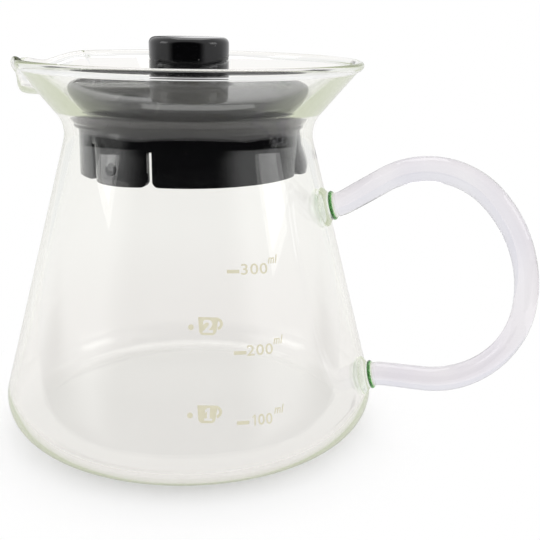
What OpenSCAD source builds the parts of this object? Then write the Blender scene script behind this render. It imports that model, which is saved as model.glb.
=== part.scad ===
// Coffee server carafe: a blown glass cone with a funnel mouth, a pour spout and a bent rod handle,
// closed by a lift-off lid whose slotted skirt drops into the neck.
// Millimetres, +Z up. The origin is on the table at the centre of the base, the handle points to +X
// and the spout to -X.

/* [Glass body] */
// Height of the glass, from the table to the top of the rim
glass_h = 100.4; // [97:0.2:106]
// Widest outer diameter, just above the base
body_d = 103.6; // [96:0.4:108]
// Outer radius of the corner between base and side
base_round = 9; // [6:0.5:11]
// Outer diameter of the waist under the funnel
waist_d = 66.2; // [64:0.2:72]
// Height of the funnel, from the waist to the top of the rim
funnel_h = 19.2; // [17.4:0.2:23]
// Outer radius of the bend at the waist
waist_round = 8.6; // [7:0.2:11]
// Outer diameter over the rim
rim_d = 92; // [88:0.4:98]
// Glass thickness of the base
base_wall = 2.4; // [1.8:0.1:3.2]
// Glass thickness of the side at its foot
body_wall = 1.9; // [1.5:0.1:2.4]
// Glass thickness of the waist and the foot of the funnel
mouth_wall = 2.7; // [2.2:0.1:3]
// Glass thickness of the rounded rim
rim_wall = 1.8; // [1.4:0.1:2.6]

/* [Spout] */
// How far the lip stands out past the rim
spout_reach = 3.4; // [3:0.2:8]
// Half of the angle that the spout takes up round the mouth, in degrees
spout_half_angle = 24; // [16:1:32]
// How far the rim sinks on the way to the spout
spout_dip = 3.6; // [0.5:0.1:4]
// Half of the angle over which the rim sinks, in degrees
dip_half_angle = 26; // [20:1:36]
// How far the tip of the lip turns up again
lip_curl = 2.2; // [0:0.1:2.6]
// Half of the angle that the upturned tip takes up, in degrees
curl_half_angle = 12; // [8:1:16]

/* [Handle] */
// Diameter of the glass rod
rod_d = 6.4; // [5.5:0.1:7.2]
// Depth of the upper weld's middle below the waist
upper_weld_drop = 18.2; // [15.2:0.5:24.2]
// Height at which the lower weld meets the side
lower_weld_h = 16.3; // [14:0.5:22]
// Slope at which the rod climbs away from the upper weld, in degrees
rise_angle = 33; // [25:1:40]
// Length of the straight climb
rise_length = 11.5; // [8:0.5:15]
// Centreline radius of the bend over the top
top_bend = 22; // [18:0.5:26]
// Centreline radius of the bend at the foot of the side
low_bend = 24.9; // [20:0.1:30]
// Centreline radius of the small bends beside the welds
weld_bend = 9; // [7:0.5:12]

/* [Welds] */
// Diameter of the weld's foot on the glass
weld_foot_d = 10.6; // [9:0.1:12]
// Diameter of the ring where foot and rod run together
weld_ring_d = 7.8; // [7.2:0.1:9]
// How far the weld stands out from the side
weld_length = 3; // [2.4:0.1:4]

/* [Lid] */
// How far the flange's edge stands out past the neck's bore
seat_width = 2.2; // [1.4:0.1:2.8]
// Height of the flange's upright edge
lid_edge = 3.3; // [2.6:0.1:4.2]
// Radius along the flange's top edge
lid_edge_round = 1.2; // [0.6:0.1:1.8]
// Thickness of the lid's disc
lid_disc = 1.8; // [1.4:0.1:2.4]
// Height of the sloping face under the flange's edge
flange_slope = 4; // [3:0.1:5]
// Turn of the lid about its axis, in degrees
lid_turn = 12; // [0:1:119]
// Gap between the seated flange and the funnel
seat_gap = 0.3; // [0.2:0.05:0.5]

/* [Lid knob] */
// Diameter of the knob
knob_d = 21; // [17:0.5:26]
// Height of the knob above the disc
knob_h = 14.1; // [10:0.1:18]
// Radius round the knob's top edge
knob_round = 1.6; // [0.8:0.1:2.4]
// Radius of the hollow foot where the knob meets the disc
knob_foot = 1.9; // [1:0.1:3]
// Wall of the hollow knob
knob_wall = 1.8; // [1.4:0.1:2.6]

/* [Lid skirt] */
// Gap all round between the skirt and the neck's bore
skirt_gap = 1.2; // [0.6:0.1:2.4]
// Wall of the skirt
skirt_wall = 1.5; // [1.2:0.1:2]
// Depth of the skirt below the flange
skirt_h = 13.2; // [10:0.2:16]
// Depth of the slots between the tabs
slot_h = 9.3; // [6:0.1:9.6]
// Width of each slot
slot_w = 1.2; // [0.8:0.1:2]
// Angle that a gripping tab takes up, in degrees
grip_angle = 36; // [24:1:44]
// Height of the widest point of a gripping tab above its lower edge
grip_nose_h = 2.4; // [1.6:0.1:3.4]
// Gap between a gripping tab and the neck that it passes
neck_gap = 0.3; // [0.2:0.05:0.5]
// Radius of the tabs' lower corners
tab_round = 1.5; // [0.8:0.1:2.2]

/* [Hidden] */
$fn = 96;
// Overrun of every cut
cut = 1;

waist_h = glass_h - funnel_h;
upper_weld_h = waist_h - upper_weld_drop;

// Centres of the rounds that shape the glass, as radius and height in the section
base_centre = [body_d / 2 - base_round, base_round];
inner_round = base_round - body_wall;
inner_base_centre = [base_centre[0], base_wall + inner_round];
waist_centre = [waist_d / 2 + waist_round, waist_h];
rim_round = rim_wall / 2;
rim_centre = [rim_d / 2 - rim_round, glass_h - rim_round];
// Inner radius of the bend at the waist, and the neck's inner radius there
neck_bend = waist_round + mouth_wall;
neck_r = waist_centre[0] - neck_bend;

function polar(radius, angle) = radius * [cos(angle), sin(angle)];
function arc_points(centre, radius, from, to, steps) =
    [for (i = [0:steps]) centre + polar(radius, from + (to - from) * i / steps)];
// Tilt from upright of the wall that touches a lower round from outside and an upper one from inside
function wall_tilt(low, low_r, high, high_r) =
    let (v = high - low) atan2(v[1], v[0]) - acos((low_r + high_r) / norm(v));
// Lean of the funnel from upright: its middle line touches the middle of the waist's bend and ends in
// the rim's centre
function funnel_lean() =
    let (v = waist_centre - rim_centre)
    -atan2(v[1], v[0]) - acos((waist_round + mouth_wall / 2) / norm(v));

side_tilt = wall_tilt(base_centre, base_round, waist_centre, waist_round);
inner_tilt = wall_tilt(inner_base_centre, inner_round, waist_centre, neck_bend);
lean = funnel_lean();

// Steps along the bends of the section
bend_steps = 8;
rim_steps = 6;

// The turned part of the glass ends level, just before the bend's outside runs into the funnel. The
// shaped mouth goes on from there
mouth_margin = 0.3;
turned_top = waist_h + waist_round * sin(lean) - mouth_margin;
// Angle on a bend of a given radius at which it reaches a height above the waist
function bend_angle(radius, height) = asin((height - waist_h) / radius);
// Place on a bend of a given radius at a height above the waist
function bend_place(radius, height) = waist_centre + polar(radius, 180 - bend_angle(radius, height));

// Outside of the glass from the base's centre to the top of the turned part
outer_section = concat(
    arc_points(base_centre, base_round, -90, side_tilt, bend_steps),
    arc_points(waist_centre, waist_round, 180 + side_tilt, 180 - bend_angle(waist_round, turned_top),
        bend_steps));
// Inside of the glass, from the top of the turned part down to the base
inner_section = concat(
    arc_points(waist_centre, neck_bend, 180 - bend_angle(neck_bend, turned_top), 180 + inner_tilt,
        bend_steps),
    arc_points(inner_base_centre, inner_round, inner_tilt, -90, bend_steps));

// Outer radius of the sloping side at a height
function side_r(height) =
    let (out = [cos(side_tilt), sin(side_tilt)])
    (out * base_centre + base_round - height * out[1]) / out[0];

module outer_solid() {
    rotate_extrude()
        polygon(concat([[0, 0]], outer_section, [[0, turned_top]]));
}

// The mouth is shaped round the axis in columns. In each, a middle line runs up from the end of the
// waist's bend to the rim, straight up the funnel or out along the spout's floor and up its nose, and
// the wall lies half to each side of it
spout_columns = 20;
plain_columns = 52;
// How deep the mouth is rooted in the turned part, and how much thinner the root is on each side
mouth_root = 0.4;
root_step = 0.12;
// Places of the spout's middle line in the box from the end of the bend to the lip
spout_shares = [[0, 0], [0.11, 0.16], [0.26, 0.235], [0.44, 0.24], [0.64, 0.235], [0.82, 0.235],
    [0.95, 0.265], [1, 0.37], [1, 0.58], [0.995, 0.8], [1, 1]];
mouth_rows = len(spout_shares) - 1;

mouth_up = [sin(lean), cos(lean)];
mouth_start = waist_centre + polar(waist_round + mouth_wall / 2, 180 - lean);
spout_lip = rim_centre + [spout_reach, 0];

column_angles = concat(
    [for (i = [0:spout_columns - 1]) dip_half_angle * (2 * i / spout_columns - 1)],
    [for (i = [0:plain_columns - 1])
        dip_half_angle + (360 - 2 * dip_half_angle) * i / plain_columns]);

// A rounded hill that falls from 1 to 0 over half of its width, for an angle from the spout's middle
function hill(angle, half_angle) = abs(angle) < half_angle ? pow(cos(90 * angle / half_angle), 2) : 0;
function rim_sink(angle) =
    spout_dip * hill(angle, dip_half_angle) - lip_curl * hill(angle, curl_half_angle);
function middle(row, angle) =
    let (t = row / mouth_rows, blend = hill(angle, spout_half_angle), box = spout_lip - mouth_start)
    (mouth_start + (rim_centre - mouth_start) * t) * (1 - blend)
    + (mouth_start + [spout_shares[row][0] * box[0], spout_shares[row][1] * box[1]]) * blend
    - [0, rim_sink(angle) * pow(t, 2)];
// Direction of the middle line at a row, from the rows beside it
function heading(row, angle) =
    row == 0 ? mouth_up
    : let (v = middle(min(row + 1, mouth_rows), angle) - middle(row - 1, angle)) v / norm(v);
function turned_right(v) = [v[1], -v[0]];
// Place on the wall's surface beside a row, outside (side 1) or inside (side -1)
function wall_place(row, angle, side) =
    let (half = (mouth_wall + (rim_wall - mouth_wall) * row / mouth_rows) / 2)
    middle(row, angle) + turned_right(heading(row, angle)) * half * side;

// One closed section of the mouth: up the outside, round the rim, down the inside, and the root
function mouth_section(angle) =
    let (rim_up = heading(mouth_rows, angle))
    concat(
        [bend_place(waist_round, turned_top - mouth_root) + [-root_step, 0]],
        [for (row = [0:mouth_rows]) wall_place(row, angle, 1)],
        [for (i = [1:rim_steps - 1]) let (turn = 180 * i / rim_steps)
            middle(mouth_rows, angle)
            + (turned_right(rim_up) * cos(turn) + rim_up * sin(turn)) * rim_round],
        [for (row = [mouth_rows:-1:0]) wall_place(row, angle, -1)],
        [bend_place(neck_bend, turned_top + mouth_root) + [root_step / 2, 0],
         bend_place(neck_bend, turned_top - mouth_root) + [root_step, 0]]);

module shaped_mouth() {
    sections = [for (angle = column_angles) mouth_section(angle)];
    columns = len(column_angles);
    rows = len(sections[0]);
    places = [for (c = [0:columns - 1]) for (p = sections[c])
        [-p[0] * cos(column_angles[c]), -p[0] * sin(column_angles[c]), p[1]]];
    function at(c, r) = (c % columns) * rows + r % rows;
    faces = [for (c = [0:columns - 1]) for (r = [0:rows - 1])
        for (face = [[at(c, r), at(c, r + 1), at(c + 1, r + 1)], [at(c, r), at(c + 1, r + 1), at(c + 1, r)]])
            face];
    polyhedron(places, faces);
}

module glass_vessel() {
    color([0.86, 0.92, 0.87, 0.45]) {
        rotate_extrude()
            polygon(concat([[0, 0]], outer_section, inner_section, [[0, base_wall]]));
        shaped_mouth();
    }
}

// The handle's centreline lies in the XZ plane. It is a chain of bends and straights, and each place
// is worked out from the one before it. The bends stop short of one another, and a straight or a
// collar a hair thicker than the rod laps over both ends
rod_lap = 0.4;
rod_step = 0.02;
bend_trim = 0.4;

upper_root = [side_r(upper_weld_h), upper_weld_h];
lower_root = [side_r(lower_weld_h), lower_weld_h];
upper_end = upper_root + polar(weld_length, side_tilt);
lower_end = lower_root + polar(weld_length, side_tilt);
// Headings where the bends meet, in degrees
side_start = -45;
side_end = -95;

// Travel along a bend that turns left (side 1) or right (side -1) between two headings
function bend_travel(radius, from, to, side) =
    radius * side * [sin(to) - sin(from), cos(from) - cos(to)];

climb_start = upper_end + polar(rod_lap, side_tilt);
rise_start = climb_start + bend_travel(weld_bend, side_tilt, rise_angle, 1);
rise_end = rise_start + polar(rise_length, rise_angle);
top_end = rise_end + bend_travel(top_bend, rise_angle, side_start, -1);
// The level run ends in the bend at the lower weld. The long bend down the side is as wide as the
// height between the level run and the bend over the top asks for
foot_stop = lower_end + polar(rod_lap, side_tilt);
level_end = foot_stop - bend_travel(weld_bend, 180, 180 + side_tilt, 1);
side_drop = top_end[1] - level_end[1] - low_bend * (1 + cos(side_end));
side_bend = side_drop / (cos(side_start) - cos(side_end));
side_stop = top_end + bend_travel(side_bend, side_start, side_end, -1);
level_start = side_stop + bend_travel(low_bend, side_end, -180, -1);

// A bend of the rod from a place, between two headings
module rod_bend(place, radius, from, to, side) {
    centre = place + polar(radius, from + side * 90);
    start = (side > 0 ? from : to) - side * 90;
    rotate([90, 0, 0])
        translate(concat(centre, 0))
            rotate(start + bend_trim)
                rotate_extrude(angle = abs(to - from) - 2 * bend_trim)
                    translate([radius, 0])
                        circle(d = rod_d, $fn = 48);
}

// A straight along a heading, which laps over the bends at both ends, and a collar where it has no length
module rod_straight(place, heading, length = 0) {
    translate([place[0], 0, place[1]])
        rotate([0, 90 - heading, 0])
            translate([0, 0, -rod_lap])
                cylinder(d = rod_d + 2 * rod_step, h = length + 2 * rod_lap, $fn = 48);
}

module handle() {
    color([0.87, 0.86, 0.9, 0.6]) {
        rod_straight(climb_start, side_tilt);
        rod_bend(climb_start, weld_bend, side_tilt, rise_angle, 1);
        rod_straight(rise_start, rise_angle, rise_length);
        rod_bend(rise_end, top_bend, rise_angle, side_start, -1);
        rod_straight(top_end, side_start);
        rod_bend(top_end, side_bend, side_start, side_end, -1);
        rod_straight(side_stop, side_end);
        rod_bend(side_stop, low_bend, side_end, -180, -1);
        rod_straight(level_start, 180, norm(level_end - level_start));
        rod_bend(level_end, weld_bend, 180, 180 + side_tilt, 1);
        rod_straight(foot_stop, 180 + side_tilt);
    }
}

// Section of a weld along its own axis, from inside the wall to the rod's end face: a rounded foot,
// a hollow neck and the ring where the rod begins. Each row is a share of the weld's length and of
// the width between rod and foot
weld_shares = [[0.12, 1], [0.3, 0.93], [0.42, 0.74], [0.5, 0.5]];
ring_shares = [[0.6, 0.96], [0.72, 1], [0.84, 0.94], [1, 0.4]];
weld_sink = body_wall / 2;

module weld(root) {
    rod_r = rod_d / 2;
    foot_width = weld_foot_d / 2 - rod_r;
    ring_width = weld_ring_d / 2 - rod_r;
    outline = concat(
        [[0, -weld_sink], [weld_foot_d / 2, -weld_sink]],
        [for (s = weld_shares) [rod_r + foot_width * s[1], weld_length * s[0]]],
        [for (s = ring_shares) [rod_r + ring_width * s[1], weld_length * s[0]]],
        [[0, weld_length]]);
    difference() {
        translate([root[0], 0, root[1]])
            rotate([0, 90 - side_tilt, 0])
                rotate_extrude($fn = 48)
                    polygon(outline);
        outer_solid();
    }
}

module upper_weld() {
    color([0.62, 0.78, 0.6, 0.8]) weld(upper_root);
}

module lower_weld() {
    color([0.62, 0.78, 0.6, 0.8]) weld(lower_root);
}

// The flange's lower corner seats where the neck's bend is as wide as the lid and the seat's gap
lid_r = neck_r + seat_width;
seat_h = waist_h + sqrt(pow(neck_bend, 2) - pow(waist_centre[0] - lid_r - seat_gap, 2));
disc_top = seat_h + lid_edge;
disc_under = disc_top - lid_disc;
flange_low = seat_h - flange_slope;
skirt_r = neck_r - skirt_gap;
skirt_bore = skirt_r - skirt_wall;
// How far the flange's lower edge stands out past the skirt
flange_lip = 0.7;
knob_r = knob_d / 2;
knob_bore = knob_r - knob_wall;

module lid_plate() {
    color([0.06, 0.06, 0.065])
        rotate_extrude()
            polygon(concat(
                [[knob_bore, disc_under], [knob_bore, disc_top]],
                arc_points([lid_r - lid_edge_round, disc_top - lid_edge_round], lid_edge_round, 90, 0,
                    bend_steps),
                [[lid_r, seat_h], [skirt_r + flange_lip, flange_low], [skirt_bore, flange_low],
                 [skirt_bore, disc_under]]));
}

module lid_knob() {
    knob_top = disc_top + knob_h;
    color([0.05, 0.05, 0.055])
        rotate_extrude()
            polygon(concat(
                [[knob_bore, disc_top]],
                arc_points([knob_r + knob_foot, disc_top + knob_foot], knob_foot, 270, 180, bend_steps),
                arc_points([knob_r - knob_round, knob_top - knob_round], knob_round, 0, 90, bend_steps),
                [[0, knob_top], [0, knob_top - knob_wall], [knob_bore, knob_top - knob_wall]]));
}

// The gripping tabs' noses stand out as far as the neck lets them pass
skirt_low = flange_low - skirt_h;
slot_top = skirt_low + slot_h;
grip_r = neck_r - neck_gap;
grip_pitch = 120;
// How far a nose leans back at its lower edge, and how deep it is rooted in the skirt's wall
grip_lead = 0.5;
grip_root = 0.1;

// A slot as seen from outside, with the rounded lower corners of the two tabs beside it. The rounds
// start a little above the lower edge, at a slant
corner_start = 72;
corner_x = slot_w / 2 + tab_round * (1 - cos(corner_start));
slot_outline = concat(
    [[-corner_x, skirt_low - cut]],
    arc_points([-slot_w / 2 - tab_round, skirt_low + tab_round], tab_round, -corner_start, 0, bend_steps),
    [[-slot_w / 2, slot_top], [slot_w / 2, slot_top]],
    arc_points([slot_w / 2 + tab_round, skirt_low + tab_round], tab_round, 180, 180 + corner_start,
        bend_steps),
    [[corner_x, skirt_low - cut]]);

module slot_cut() {
    translate([skirt_bore - cut, 0, 0])
        rotate([90, 0, 90])
            linear_extrude(grip_r - skirt_bore + 2 * cut)
                polygon(slot_outline);
}

// A ring with the noses' section, cut down to the three gripping tabs
module grip_noses() {
    reach = grip_r / cos(grip_angle / 2) + cut;
    intersection() {
        rotate_extrude()
            polygon([[skirt_r - skirt_wall / 2, skirt_low], [grip_r - grip_lead, skirt_low],
                [grip_r, skirt_low + grip_nose_h], [skirt_r - grip_root, slot_top],
                [skirt_r - skirt_wall / 2, slot_top]]);
        for (i = [0:2])
            rotate(grip_pitch * i)
                translate([0, 0, skirt_low - cut])
                    linear_extrude(slot_h + 2 * cut)
                        polygon([[0, 0], polar(reach, -grip_angle / 2), polar(reach, grip_angle / 2)]);
    }
}

module lid_skirt() {
    color([0.05, 0.05, 0.055])
        rotate(lid_turn)
            difference() {
                union() {
                    rotate_extrude()
                        polygon([[skirt_bore, skirt_low], [skirt_r, skirt_low],
                            [skirt_r, flange_low], [skirt_bore, flange_low]]);
                    grip_noses();
                }
                for (i = [0:2])
                    for (side = [-1, 1])
                        rotate(grip_pitch * i + side * grip_angle / 2)
                            slot_cut();
            }
}

glass_vessel();
handle();
upper_weld();
lower_weld();
lid_plate();
lid_knob();
lid_skirt();
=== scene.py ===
"""Looks of a glass coffee server with a lift-off black lid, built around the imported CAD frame.

Shapes are worked out in millimetres, as in the CAD source, and laid down in metres in the CAD's
frame: +Z up, the handle at +X, the spout at -X, the origin on the table at the centre of the base.
"""

import math

import bmesh
import bpy
from mathutils import Matrix, Vector


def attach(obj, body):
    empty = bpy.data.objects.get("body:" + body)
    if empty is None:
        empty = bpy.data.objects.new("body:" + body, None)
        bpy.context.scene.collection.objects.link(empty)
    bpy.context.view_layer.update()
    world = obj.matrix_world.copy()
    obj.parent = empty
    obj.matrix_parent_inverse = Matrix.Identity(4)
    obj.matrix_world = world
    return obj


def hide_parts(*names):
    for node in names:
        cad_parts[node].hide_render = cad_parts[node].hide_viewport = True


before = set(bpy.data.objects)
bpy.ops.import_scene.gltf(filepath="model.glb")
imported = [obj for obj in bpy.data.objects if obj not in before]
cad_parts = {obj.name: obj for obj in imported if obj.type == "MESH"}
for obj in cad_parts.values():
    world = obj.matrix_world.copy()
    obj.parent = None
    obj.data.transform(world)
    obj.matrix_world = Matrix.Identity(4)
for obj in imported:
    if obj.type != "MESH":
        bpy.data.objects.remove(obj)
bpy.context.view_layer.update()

MM = 0.001

# The glass
GLASS_HEIGHT = 100.4
BODY_RADIUS = 51.8
BASE_ROUND = 9.0
WAIST_RADIUS = 33.1
WAIST_HEIGHT = 81.2
WAIST_ROUND = 8.6
RIM_RADIUS = 46.0
BASE_WALL = 2.4
BODY_WALL = 1.9
MOUTH_WALL = 2.7

# The rim: the wall thins to RIM_WALL, by the power WALL_EASE, and ends in a round bead. RIM_BEAD is
# the bead's radius, and the shank is the straight length under it.
RIM_WALL = 1.35
WALL_EASE = 1.2
RIM_BEAD = 1.05
BEAD_SHANK = 0.5
BEAD_FILLET = 0.35

# The spout. Half angles are taken round the axis from the middle of each effect.
SPOUT_REACH = 3.4
SPOUT_HALF_ANGLE = 24.0
SPOUT_DIP = 3.6
DIP_HALF_ANGLE = 26.0
LIP_CURL = 2.2
CURL_HALF_ANGLE = 12.0
PINCH = 1.3
PINCH_ANGLE = 33.0
PINCH_HALF_ANGLE = 16.0

# The spout's middle line from the waist's bend to its lip, as shares (outwards, upwards) of the way
SPOUT_SHARES = (
    (0.0, 0.0),
    (0.11, 0.16),
    (0.26, 0.235),
    (0.44, 0.24),
    (0.64, 0.235),
    (0.82, 0.235),
    (0.95, 0.265),
    (1.0, 0.37),
    (1.0, 0.58),
    (0.995, 0.8),
    (1.0, 1.0),
)

# The handle's centreline. It starts inside the welds (ROD_SINK) and leaves them straight (ROD_LAP).
UPPER_WELD_HEIGHT = 63.0
LOWER_WELD_HEIGHT = 16.3
WELD_LENGTH = 3.0
WELD_BEND = 9.0
RISE_ANGLE = 33.0
RISE_LENGTH = 11.5
TOP_BEND = 22.0
LOW_BEND = 24.9
SIDE_START = -45.0
SIDE_END = -95.0
ROD_LAP = 0.4
ROD_SINK = 0.2

# The rod's (share of its length, radius). It is thinner where it was stretched round the side.
ROD_RADII = (
    (0.0, 3.2),
    (0.12, 3.25),
    (0.35, 3.34),
    (0.55, 3.08),
    (0.68, 3.0),
    (0.85, 3.3),
    (1.0, 3.2),
)

# The lid's plate: (radius, drop) over its soft shoulder, and (radius, height) down the flange
SEAT_HEIGHT = 88.29
DISC_TOP = 91.59
DISC_UNDER = 89.79
FLANGE_LOW = 84.29
LID_RADIUS = 32.6
SHOULDER_DROPS = ((18.0, 0.01), (26.0, 0.03), (28.8, 0.09), (30.2, 0.24), (30.9, 0.5))
EDGE_ROUND = 1.5
EDGE_DROP = 2.3
SEAT_RISE = 0.3
SEAT_CUT = 0.25
FLANGE_FACE = ((31.2, 86.4), (30.5, 85.35), (30.2, 85.12))
FLANGE_BEAD = (30.1, 84.72)
FLANGE_BEAD_ROUND = 0.45

# The lid's skirt
SKIRT_RADIUS = 29.2
SKIRT_WALL = 1.5
SKIRT_LOW = 71.09
SKIRT_LAP = 0.05
BAND_LINES = (83.0, 81.7)
SLOT_TOP = 80.39
SLOT_WIDTH = 1.2
TAB_ROUND = 1.5
LID_TURN = 14.5
GRIP_ANGLE = 33.0

# How far the middle of a gripping tab stands out from the skirt, as (height, swell)
TAB_SWELL = (
    (86.0, 0.0),
    (83.5, 0.55),
    (81.2, 0.95),
    (78.5, 1.3),
    (76.5, 2.1),
    (74.6, 2.75),
    (73.0, 3.0),
    (71.0, 2.5),
)
SWELL_FALL = 0.8

# The lid's knob, with the (radius, drop) of its slightly dished top
KNOB_RADIUS = 10.5
KNOB_TOP = 105.68
KNOB_ROUND = 1.6
KNOB_FOOT = 1.9
KNOB_WALL = 1.8
KNOB_LAP = 0.02
KNOB_DISH = ((4.0, 0.06), (0.0, 0.08))

# The enamel scale, as it would lie flat
PRINT_SINK = 0.015
PRINT_RISE = 0.03
PRINT_SLANT = -4.0
PRINT_STEP = 0.8
DASH_WIDTH = 3.1
DASH_HEIGHT = 0.84
FIGURE_HEIGHT = 2.6
FIGURE_LIFT = 0.1
FIGURE_BOLD = 0.008
ONE_WIDTH = 0.85
ONE_STROKE = 0.34
UNIT_HEIGHT = 2.1
UNIT_WIDTH = 2.8
UNIT_SHEAR = 0.3
UNIT_BOLD = 0.018
DOT_WIDTH = 1.35
CUP_HALF_HEIGHT = 2.1
CUP_HALF_TOP = 2.45
CUP_HALF_FOOT = 2.05
CUP_CORNER = 1.1
EAR_CENTRE = Vector((2.1, 0.55))
EAR_OUTER = 1.45
EAR_INNER = 0.75

# The studio
CAMERA_TURN = 20.0
CAMERA_PLACE = Vector((81.02, -222.61, 112.9)) * MM
CAMERA_YAW = 5.405
CAMERA_PITCH = 16.636
CAMERA_ROLL = 1.053
CAMERA_LENS = 58.11
LAMP_AIM = Vector((0, 0, 0.05))
PAPER_CORNERS = ((-0.16, -0.145), (0.16, -0.145), (0.9, 1.6), (-0.9, 1.6))
PAPER_DROP = 0.0004

# How far glass bends light, and the painted glow it shows after more mirrored bounces than the
# renderer follows
GLASS_BEND = 1.474
WELD_GLASS_BEND = 1.22
TRAPPED_BOUNCES = 3.5
TRAPPED_GLOW = (0.36, 0.375, 0.31)
WHITE = (1.0, 1.0, 1.0)
BLACK = (0.0, 0.0, 0.0)


def polar(radius, degrees):
    """A point in a section, as radius from the axis and height."""
    turn = math.radians(degrees)
    return Vector((radius * math.cos(turn), radius * math.sin(turn)))


def arc(centre, radius, start, stop, steps):
    """Points along an arc of a section."""
    return [centre + polar(radius, start + (stop - start) * i / steps) for i in range(steps + 1)]


def straight(start, stop, steps):
    """Points strictly between two points of a section."""
    return [start.lerp(stop, i / steps) for i in range(1, steps)]


def around(point, degrees):
    """A section's point turned about the axis, in metres. 0 degrees is +X."""
    turn = math.radians(degrees)
    return Vector((point.x * math.cos(turn), point.x * math.sin(turn), point.y)) * MM


def finished(name, bm, body, sharp=None):
    """Makes a smooth-shaded piece of a bmesh and lets it ride on a body of the frame."""
    bmesh.ops.recalc_face_normals(bm, faces=bm.faces)
    mesh = bpy.data.meshes.new(name)
    bm.to_mesh(mesh)
    bm.free()
    mesh.shade_smooth()
    if sharp is not None:
        mesh.set_sharp_from_angle(angle=math.radians(sharp))
    piece = bpy.data.objects.new(name, mesh)
    bpy.context.scene.collection.objects.link(piece)
    if body is not None:
        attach(piece, body)
    return piece


def skin(columns, poles=False):
    """A closed skin over columns of points that go round once. With poles the first and last points
    of every column are one point each, and without them each column is a loop."""
    bm = bmesh.new()
    inner = [column[1:-1] if poles else column for column in columns]
    rows = [[bm.verts.new(point) for point in column] for column in inner]
    count = len(rows)
    length = len(rows[0])
    for c in range(count):
        here = rows[c]
        after = rows[(c + 1) % count]
        for r in range(length - 1 if poles else length):
            up = (r + 1) % length
            bm.faces.new((here[r], after[r], after[up], here[up]))
    if poles:
        for end, r in ((0, 0), (-1, length - 1)):
            pole = bm.verts.new(columns[0][end])
            for c in range(count):
                bm.faces.new((pole, rows[c][r], rows[(c + 1) % count][r]))
    return bm


def turned(section, steps=180, poles=False):
    """A section turned once about the axis."""
    return skin([[around(p, 360 * i / steps) for p in section] for i in range(steps)], poles)


# The glass vessel -------------------------------------------------------------------------------

BASE_CENTRE = Vector((BODY_RADIUS - BASE_ROUND, BASE_ROUND))
INNER_ROUND = BASE_ROUND - BODY_WALL
INNER_BASE_CENTRE = Vector((BASE_CENTRE.x, BASE_WALL + INNER_ROUND))
WAIST_CENTRE = Vector((WAIST_RADIUS + WAIST_ROUND, WAIST_HEIGHT))
NECK_BEND = WAIST_ROUND + MOUTH_WALL
RIM_CENTRE = Vector((RIM_RADIUS - RIM_BEAD, GLASS_HEIGHT - RIM_BEAD))


def wall_tilt(low, low_round, high, high_round):
    """Tilt from upright of a wall that touches both rounds."""
    way = high - low
    return math.degrees(math.atan2(way.y, way.x) - math.acos((low_round + high_round) / way.length))


def funnel_lean():
    """Lean of the funnel's middle line from upright."""
    way = WAIST_CENTRE - RIM_CENTRE
    middle_bend = WAIST_ROUND + MOUTH_WALL / 2
    return math.degrees(-math.atan2(way.y, way.x) - math.acos(middle_bend / way.length))


SIDE_TILT = wall_tilt(BASE_CENTRE, BASE_ROUND, WAIST_CENTRE, WAIST_ROUND)
INNER_TILT = wall_tilt(INNER_BASE_CENTRE, INNER_ROUND, WAIST_CENTRE, NECK_BEND)
LEAN = funnel_lean()
MOUTH_UP = Vector((math.sin(math.radians(LEAN)), math.cos(math.radians(LEAN))))
MOUTH_START = WAIST_CENTRE + polar(WAIST_ROUND + MOUTH_WALL / 2, 180 - LEAN)
SPOUT_LIP = RIM_CENTRE + Vector((SPOUT_REACH, 0))
MOUTH_LENGTH = (RIM_CENTRE - MOUTH_START).length

# Steps of the vessel's section, from the floor to the rim
FLOOR_ROWS = 4
FOOT_STEPS = 16
SIDE_ROWS = 14
WAIST_STEPS = 18
MOUTH_ROWS = 36
BEAD_ROWS = 18
BEAD_STEPS = 10

# Places of the rows up the mouth's wall, from the waist's bend (0) to the rim (1). They lie closer
# together in the bead's zone.
BEAD_ZONE = 2.1
BEAD_PLACE = 1 - BEAD_ZONE / MOUTH_LENGTH
MOUTH_PLACES = [BEAD_PLACE * i / MOUTH_ROWS for i in range(MOUTH_ROWS)]
MOUTH_PLACES += [1 - (1 - BEAD_PLACE) * i / BEAD_ROWS for i in range(BEAD_ROWS, -1, -1)]


def side_radius(height):
    """Outer radius of the sloping side at a height."""
    out = polar(1, SIDE_TILT)
    return (out.dot(BASE_CENTRE) + BASE_ROUND - height * out.y) / out.x


def hill(angle, half_angle):
    """Falls from 1 in the middle to 0 at the half angle."""
    if abs(angle) >= half_angle:
        return 0.0
    return math.cos(math.pi / 2 * angle / half_angle) ** 2


def spout_share(t):
    """Place of the spout's middle line in its box, along a smooth curve through the shares."""
    last = len(SPOUT_SHARES) - 1
    k = min(int(t * last), last - 1)
    u = t * last - k
    a, b, c, d = (Vector(SPOUT_SHARES[min(max(k + i, 0), last)]) for i in (-1, 0, 1, 2))
    bend = (a * -1 + b * 3 - c * 3 + d) * u ** 3
    return (b * 2 + (c - a) * u + (a * 2 - b * 5 + c * 4 - d) * u ** 2 + bend) / 2


def mouth_middle(t, angle):
    """Middle of the mouth's wall, from the waist's bend (t 0) to the rim (t 1). Where the spout was
    drawn out, the rim beside it was pulled in a little."""
    blend = hill(angle, SPOUT_HALF_ANGLE)
    box = SPOUT_LIP - MOUTH_START
    share = spout_share(t)
    plain = MOUTH_START.lerp(RIM_CENTRE, t)
    drawn = MOUTH_START + Vector((share.x * box.x, share.y * box.y))
    sink = SPOUT_DIP * hill(angle, DIP_HALF_ANGLE) - LIP_CURL * hill(angle, CURL_HALF_ANGLE)
    pinch = PINCH * hill(abs(angle) - PINCH_ANGLE, PINCH_HALF_ANGLE)
    return plain.lerp(drawn, blend) - Vector((pinch, sink)) * t * t


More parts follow.
